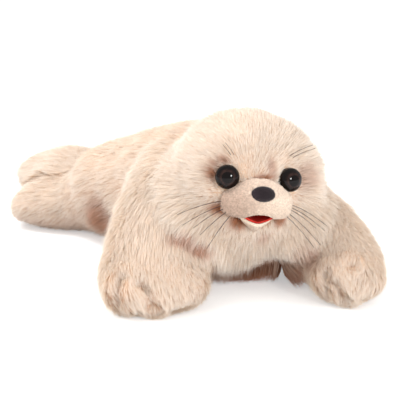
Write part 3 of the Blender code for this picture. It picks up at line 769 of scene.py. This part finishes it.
def fur_way(node, points, normals):
    """Where the fur's tips point, along the skin."""
    if node in ("head_cover", "muzzle", "chin"):
        low = rise(MUZZLE_CENTRE[2] - points[:, 2], *HEAD_DROOP_ZONE)[:, None]
        way = unit(points - MUZZLE_CENTRE) + DOWN * blend(*HEAD_DROOP, low)
    else:
        way = line_way(LINES[node], points) + DOWN * FUR_DROOP
    if node in SHOULDER_WAYS:
        shoulder = rise(points[:, 1:2], *SHOULDER_ZONE)
        way = blend(way, np.array(SHOULDER_WAYS[node]), shoulder)
    way = way + BROAD_SWAY * wander(points, BROAD_WAVE, BROAD_SEED)
    way += FINE_SWAY * wander(points, FINE_WAVE, FINE_SEED)
    return unit(way - normals * dot(way, normals))


def fur_hang(node, points):
    """How straight the fur hangs, from 0 to 1: it does so between the front flippers."""
    hang = np.exp(-offsets(points, *FRINGE) ** 2)
    if node == "body_cover":
        ahead = rise(-points[:, 1], *CHEST_ZONE) * rise(CHEST_HEIGHT - points[:, 2], 0.0, CHEST_FADE)
        hang = np.maximum(hang, ahead)
    return hang


def head_fur_length(points, length):
    """The head's fur is longer on the bib, the cheeks and the left side, and short round the face."""
    off = points - np.array(HEAD_CENTRE)
    bib = BIB_EXTRA + BIB_MIDDLE_EXTRA * hump(off[:, 0] - BIB_MIDDLE, BIB_MIDDLE_REACH)
    length = length + bib * rise(-off[:, 2], *BIB_ZONE)
    cheek = rise(np.abs(off[:, 0]), *CHEEK_ZONE) * rise(CHEEK_TOP - off[:, 2], 0.0, CHEEK_FADE)
    length += CHEEK_EXTRA * cheek
    length += LEFT_SIDE_EXTRA * rise(off[:, 0], *LEFT_SIDE_ZONE) * rise(off[:, 2], *LEFT_SIDE_HEIGHTS)
    face = rise(np.linalg.norm(points - MUZZLE_CENTRE, axis=1), *FACE_ZONE)
    length *= blend(FACE_SHARE, 1.0, face)
    for side in (-1, 1):
        away = np.linalg.norm(points - np.array(eye_matrix(side).translation), axis=1)
        length *= blend(FACE_SHARE, 1.0, rise(away, *EYE_ZONE))
    return length + LEFT_EYE_EDGE_EXTRA * np.exp(-offsets(points, *LEFT_EYE_EDGE))


def fur_length(node, points):
    """How long the fur is, in metres."""
    if node in ("muzzle", "chin"):
        return blend(*PILE_LENGTHS, rise(distances(tree_of("mouth_lining"), points), *PILE_ZONE))
    if node == "head_cover":
        length = head_fur_length(points, np.full(len(points), HEAD_FUR_LENGTH))
    elif node == "rear_flipper_right":
        length = np.full(len(points), REAR_RIGHT_FUR_LENGTH)
    else:
        length = np.full(len(points), FUR_LENGTH)
        to_table = HANG_SLOPE * points[:, 2] + HANG_EXTRA
        length += fur_hang(node, points) * np.maximum(to_table - length, 0.0)
    if node.startswith("front"):
        length *= blend(1.0, PAW_SHARE, rise(-points[:, 1], *PAW_ZONE))
        length *= blend(CREASE_SHARE, 1.0, rise(crease_distance(points), *CREASE_ZONE))
    return length * (1.0 + LENGTH_SWAY * wander(points, LENGTH_WAVE, LENGTH_SEED)[:, 0])


def fur_tan_and_shade(points):
    """How brown the fur is, from 0 to 1: painted shade in creases, hollows and under overhangs, and a few
    tan patches of its own.
    """
    tan_and_shade = CREASE_SHADE * hump(crease_distance(points), CREASE_SHADE_REACH)
    for place, reach, amount in TAN_AND_SHADE_SPOTS:
        tan_and_shade = np.maximum(tan_and_shade, amount * np.exp(-offsets(points, place, reach) ** 2))
    return tan_and_shade


def scatter(skin, count, draw):
    """Random places on the outside of a skin, and the skin's facing there."""
    points, normals, corners, outside = skin
    a, b, c = (points[corners[:, index]] for index in range(3))
    area = np.linalg.norm(np.cross(b - a, c - a), axis=1) * outside
    face = np.searchsorted(np.cumsum(area) / area.sum(), draw.uniform(size=count))
    face = np.minimum(face, len(corners) - 1)
    u, v = draw.uniform(size=(2, count, 1))
    over = (u + v) > 1.0
    u, v = np.where(over, 1.0 - u, u), np.where(over, 1.0 - v, v)
    weights = (1.0 - u - v, u, v)
    place = sum(weight * points[corners[face, index]] for index, weight in enumerate(weights))
    out = sum(weight * normals[corners[face, index]] for index, weight in enumerate(weights))
    return place, unit(out)


def tuft_leaders(places):
    """For each strand, the strand in the middle of its tuft."""
    tufts = len(places) // TUFT_STRANDS
    tree = KDTree(tufts)
    for index in range(tufts):
        tree.insert(places[index], index)
    tree.balance()
    return np.array([tree.find(place)[1] for place in places])


def strand_mesh(name, strand_points, shading, fields):
    """A mesh of strands, each with a tapered quad and a triangle at its tip."""
    count = len(strand_points)
    mesh = bpy.data.meshes.new(name)
    mesh.vertices.add(count * len(STRAND_UV))
    mesh.vertices.foreach_set("co", strand_points.ravel())
    strand = np.arange(count)
    loops = (strand[:, None] * len(STRAND_UV) + STRAND_CORNERS).ravel()
    mesh.loops.add(len(loops))
    mesh.loops.foreach_set("vertex_index", loops)
    mesh.polygons.add(count * len(STRAND_FACES))
    starts = (strand[:, None] * len(STRAND_CORNERS) + STRAND_FACES).ravel()
    mesh.polygons.foreach_set("loop_start", starts)
    mesh.update(calc_edges=True)
    mesh.shade_smooth()
    mesh.normals_split_custom_set_from_vertices(np.repeat(shading, len(STRAND_UV), axis=0))
    add_field(mesh, "along", np.tile(STRAND_ALONG, count))
    for field, values in fields.items():
        add_field(mesh, field, np.repeat(values, len(STRAND_UV)))
    cells = int(np.ceil(sqrt(count)))
    patch = np.stack((strand % cells, strand // cells), axis=1)
    uv = (patch[:, None, :] + STRAND_UV[STRAND_CORNERS]) / cells
    mesh.uv_layers.new(name="OFBake").data.foreach_set("uv", uv.ravel())
    return mesh


def strands(node, skin, material, seed):
    """Grow tapered strands of fur on the outside of a skin."""
    count = STRAND_COUNTS[node]
    draw = np.random.default_rng(seed)
    root, out = scatter(skin, count, draw)
    way = fur_way(node, root, out)
    length = (fur_length(node, root) * draw.uniform(*LENGTH_SPREAD, count))[:, None]
    lift = FUR_LIFTS.get(node, FUR_LIFT) + FUR_LIFT_SPREAD * draw.normal(size=(count, 1))
    lift -= TOP_LIFT_LOSSES.get(node, TOP_LIFT_LOSS) * rise(out[:, 2:], *TOP_ZONE)
    stray = draw.uniform(size=(count, 1)) < STRAY_SHARE
    lift = np.where(stray, lift + STRAY_LIFT, lift)
    sway = STRAND_SWAY * draw.normal(size=(count, 3))
    first = unit(out * np.sin(lift) + way * np.cos(lift) + sway)
    first = unit(first + HANG_PULL * fur_hang(node, root)[:, None] * DOWN)
    second = unit(first + BEND_ALONG * way + BEND_DOWN * DOWN - BEND_IN * out)
    middle = root + first * length / 2
    tip = middle + second * length / 2
    # Strands of one tuft lean towards the tip of the strand in its middle
    leader = tuft_leaders(root)
    pull = np.where(stray, STRAY_PULL, draw.uniform(*TUFT_PULL, (count, 1)))
    tip += (tip[leader] - tip) * pull
    middle += (middle[leader] - middle) * pull * TUFT_MIDDLE_SHARE
    root = root - out * ROOT_SINK
    for points in (root, middle, tip):
        points[:, 2] = np.maximum(points[:, 2], TABLE_GAP)
    along = unit(middle - root)
    side = unit(np.cross(along, out))
    roll = draw.uniform(-STRAND_ROLL, STRAND_ROLL, (count, 1))
    side = side * np.cos(roll) + np.cross(along, side) * np.sin(roll)
    facing = np.cross(side, along)
    half = STRAND_WIDTH / 2 * draw.uniform(*STRAND_WIDTH_SPREAD, (count, 1))
    half = side * half * np.where(stray, STRAY_WIDTH_SHARE, 1.0)
    slim = half * STRAND_MIDDLE_SHARE
    strand_points = np.stack((root - half, root + half, middle + slim, middle - slim, tip), axis=1)
    # Painted shade: fur on the body and rear flippers is browner where its skin faces down
    underside_shade = UNDERSIDE_SHADE if node.startswith(("body", "rear")) else 0.0
    fields = {
        "tone": (draw.uniform(size=count)[leader] + draw.uniform(size=count)) / 2,
        "tan_and_shade": np.maximum(fur_tan_and_shade(root), underside_shade * rise(-out[:, 2], *UNDERSIDE_SHADE_ZONE)),
        # Painted light: the root is lighter where the skin faces up
        "lit_top": rise(out[:, 2], *LIT_TOP_ZONE),
    }
    mesh = strand_mesh(f"{node}_fur", strand_points, unit(blend(facing, out, SKIN_SHADING)), fields)
    piece(f"{node}_fur", mesh, material)


def relax(mesh, share):
    """Even out a mesh by its share at each point, as fabric does over a join."""
    points = arrays(mesh)[0]
    edges = np.empty(len(mesh.edges) * 2, dtype=np.int64)
    mesh.edges.foreach_get("vertices", edges)
    ends = np.concatenate((edges[0::2], edges[1::2]))
    others = np.concatenate((edges[1::2], edges[0::2]))
    counts = np.bincount(ends, minlength=len(points))[:, None]
    share = share[:, None] / 2
    for _ in range(JOIN_SMOOTHING):
        total = np.stack([np.bincount(ends, points[others, axis], len(points)) for axis in range(3)], axis=1)
        points = points + (total / counts - points) * share
    move_points(mesh, points)


def coat_form():
    """One even skin over all the covers, with the notches at their joins filled."""
    remesh = ("REMESH", {"mode": "VOXEL", "voxel_size": COAT_VOXEL, "adaptivity": 0.0})
    return applied(
        join_nodes(COAT_NODES),
        remesh,
        ("DISPLACE", {"strength": JOIN_FILL, "mid_level": 0.0}),
        remesh,
        ("DISPLACE", {"strength": -JOIN_FILL, "mid_level": 0.0}),
        ("SMOOTH", {"factor": 0.5, "iterations": COAT_SMOOTHING}),
    )


def cut_cover(mesh, owner, index, mouth):
    """One cover's share of the coat's form, and each of its points' number in that form."""
    work = bmesh.new()
    work.from_mesh(mesh)
    number = work.verts.layers.int.new("source")
    for vertex in work.verts:
        vertex[number] = vertex.index
    strange = [
        face for face in work.faces
        if np.bincount([owner[vertex.index] for vertex in face.verts]).argmax() != index
        or mouth.find_nearest(face.calc_center_median())[3] < MOUTH_CLEAR
    ]
    bmesh.ops.delete(work, geom=strange, context="FACES")
    part = made_mesh(f"{COAT_NODES[index]}_coat", work)
    source = np.empty(len(part.vertices), dtype=np.int32)
    part.attributes["source"].data.foreach_get("value", source)
    part.attributes.remove(part.attributes["source"])
    part.shade_smooth()
    return part, source


def make_coat(fur, backing):
    """The soft outer form and the fur on it, in one piece of each for each cover."""
    mesh = coat_form()
    points = arrays(mesh)[0]
    depth = distances(tree_of("body_stuffing", "head_padding", "glove_lining"), points)
    near = np.stack([distances(tree_of(name), points) for name in COAT_NODES], axis=1)
    owner = near.argmin(axis=1)
    second = np.sort(near, axis=1)[:, 1]
    relax(mesh, (1.0 - rise(second, *JOIN_ZONE)) * rise(depth, *INNER_ZONE))
    points, normals, _ = arrays(mesh)
    gap = crease_distance(points)
    sunk = CREASE_DEPTH * hump(gap, CREASE_REACH) - DIGIT_RISE * hump(gap - DIGIT_MIDDLE, DIGIT_REACH)
    sunk += COAT_INSET * rise(depth, *COAT_INSET_ZONE)
    points = points - normals * sunk[:, None]
    move_points(mesh, points)
    normals = arrays(mesh)[1]
    # Tan patches and painted shade, carried on the coat as well as on its fur
    tan_and_shade = fur_tan_and_shade(points)
    mouth = tree_of("mouth_lining")
    for index, node in enumerate(COAT_NODES):
        part, source = cut_cover(mesh, owner, index, mouth)
        add_field(part, "tan_and_shade", tan_and_shade[source])
        coat = piece(f"{node}_coat", part, backing, (node,))
        corners = arrays(part)[2]
        outside = (depth[source[corners]] > INNER_DEPTH).all(axis=1)
        resting = (points[source[corners], 2] < RESTING_HEIGHT).all(axis=1)
        skin = (points[source], normals[source], corners, outside & ~resting)
        strands(node, skin, fur, COAT_SEED + index)


def make_pile(material):
    """The short pile on the muzzle and the chin."""
    beside = tree_of("head_cover", "nose", "eye_left", "eye_right")
    lip = tree_of("mouth_lining")
    for index, (node, other) in enumerate((("muzzle", "chin"), ("chin", "muzzle"))):
        points, normals, corners = arrays(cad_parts[node].data)
        middles = points[corners].mean(axis=1)
        free = np.minimum(distances(beside, middles), distances(tree_of(other), middles))
        skin = (points, normals, corners, (free > PILE_CLEAR) & (distances(lip, middles) > LIP_CLEAR))
        strands(node, skin, material, PILE_SEED + index)


def turned(name, profile, around):
    """Turn a profile of radius and height about Z."""
    work = bmesh.new()
    rings = []
    for radius, height in profile:
        turns = [2.0 * pi * step / around for step in range(around)]
        if radius == 0.0:
            rings.append([work.verts.new((0.0, 0.0, height))])
        else:
            rings.append([work.verts.new((radius * cos(t), radius * sin(t), height)) for t in turns])
    for a, b in zip(rings, rings[1:]):
        for step in range(around):
            other = (step + 1) % around
            if len(a) == 1:
                work.faces.new((a[0], b[step], b[other]))
            elif len(b) == 1:
                work.faces.new((a[step], b[0], a[other]))
            else:
                work.faces.new((a[step], b[step], b[other], a[other]))
    bmesh.ops.recalc_face_normals(work, faces=work.faces)
    mesh = made_mesh(name, work)
    mesh.shade_smooth()
    mesh.set_sharp_from_angle(angle=EYE_EDGE)
    return mesh


def make_eyes(material):
    """Smooth domes on the CAD eyes' stems."""
    turns = [pi / 2 * step / EYE_STEPS for step in range(EYE_STEPS)]
    dome = [(EYE_RADIUS * cos(turn), EYE_DOME * sin(turn)) for turn in turns]
    stem = [(0.0, -EYE_STEM_END), (EYE_STEM_RADIUS, -EYE_STEM_END), (EYE_STEM_RADIUS, -EYE_SINK)]
    profile = stem + [(EYE_RADIUS, -EYE_SINK)] + dome + [(0.0, EYE_DOME)]
    for side, word in ((-1, "right"), (1, "left")):
        mesh = turned(f"eye_{word}_dome", profile, EYE_SIDES)
        piece(f"eye_{word}_dome", mesh, material, (f"eye_{word}",), eye_matrix(side))


def make_floor():
    """A white table, which glows a little where the camera or a mirror sees it."""
    work = bmesh.new()
    bmesh.ops.create_grid(work, x_segments=1, y_segments=1, size=FLOOR_SIZE)
    mesh = made_mesh("floor", work)
    floor = bpy.data.objects.new("floor", mesh)
    bpy.context.scene.collection.objects.link(floor)
    finish = Finish("floor")
    finish.tree.nodes.remove(finish.shader)
    plain = finish.node("ShaderNodeBsdfDiffuse", None, {"Color": FLOOR_GREY})
    glow = finish.node("ShaderNodeEmission", None, {"Strength": FLOOR_GLOW})
    lit = finish.node("ShaderNodeAddShader", None, {0: plain, 1: glow})
    kinds = ("Is Camera Ray", "Is Glossy Ray", "Is Transmission Ray")
    camera, mirror, glass = (finish.node("ShaderNodeLightPath", output=kind) for kind in kinds)
    seen = camera.sum("MAXIMUM", camera, mirror.sum("MAXIMUM", mirror, glass))
    shown = finish.node("ShaderNodeMixShader", None, {0: seen, 1: plain, 2: lit})
    finish.put(finish.end.inputs["Surface"], shown)
    mesh.materials.append(finish.material)


def aim_turn(place, aim):
    """The turn of a camera or a lamp that looks from one place at another."""
    return (Vector(aim) - Vector(place)).to_track_quat("-Z", "Y").to_euler()


def lamp(name, place, size, power, aim=LAMP_AIM, mirrored=False):
    """A square lamp, which the eyes mirror only where that is asked for."""
    light = bpy.data.lights.new(name, "AREA")
    light.shape = "SQUARE"
    light.size = size
    light.energy = power
    item = bpy.data.objects.new(name, light)
    item.visible_glossy = mirrored
    item.location = place
    item.rotation_euler = aim_turn(place, aim)
    bpy.context.scene.collection.objects.link(item)


def make_camera():
    scene = bpy.context.scene
    data = bpy.data.cameras.new("camera")
    data.sensor_fit = "HORIZONTAL"
    data.sensor_width = CAMERA_SENSOR
    data.lens = CAMERA_LENS
    camera = bpy.data.objects.new("camera", data)
    camera.location = CAMERA_PLACE
    camera.rotation_euler = aim_turn(CAMERA_PLACE, CAMERA_AIM)
    scene.collection.objects.link(camera)
    scene.camera = camera


def make_studio():
    """A soft warm light from all round, white behind the puppet, and four lamps."""
    bpy.context.scene.view_settings.view_transform = "Standard"
    world = bpy.data.worlds.new("studio")
    world.use_nodes = True
    bpy.context.scene.world = world
    tree = world.node_tree
    light_path = tree.nodes.new("ShaderNodeLightPath")
    background = tree.nodes["Background"]
    background.inputs["Color"].default_value = WORLD_COLOUR
    shown = tree.nodes.new("ShaderNodeMapRange")
    shown.inputs["To Min"].default_value = WORLD_LIGHT
    shown.inputs["To Max"].default_value = WORLD_SEEN
    tree.links.new(light_path.outputs["Is Camera Ray"], shown.inputs["Value"])
    tree.links.new(shown.outputs["Result"], background.inputs["Strength"])
    lamp("key", place=(-0.8, 0.35, 1.45), size=1.0, power=24.0)
    lamp("fill", place=(1.0, -1.2, 0.55), size=0.8, power=5.5)
    lamp("low", place=(-1.1, -0.9, 0.35), size=0.8, power=3.0)
    lamp("catch", place=(0.33, -1.3, 0.42), size=0.2, power=7.0, aim=CATCH_AIM, mirrored=True)


make_coat(fur_finish(), backing_finish())
make_eyes(eye_finish())
muzzle_pile = pile_finish("muzzle_pile", MUZZLE_LOW, MUZZLE_HIGH, MUZZLE_TIP, MUZZLE_SHADED_SIDE)
keep("muzzle", muzzle_pile)
make_pile(muzzle_pile)
keep("chin", pile_finish("chin_pile", CHIN_LOW, CHIN_HIGH, CHIN_TIP))
keep("mouth_lining", felt_finish())
keep("nose", flock_finish())
keep("glove_lining", weave_finish())
fibre = fibre_finish()
keep("body_stuffing", fibre)
keep("head_padding", fibre)
washer = washer_finish()
for node in ("nose_washer", "eye_washer_left", "eye_washer_right"):
    keep(node, washer)
filament = filament_finish()
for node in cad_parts:
    if "whisker" in node:
        keep(node, filament)
make_floor()
make_camera()
make_studio()
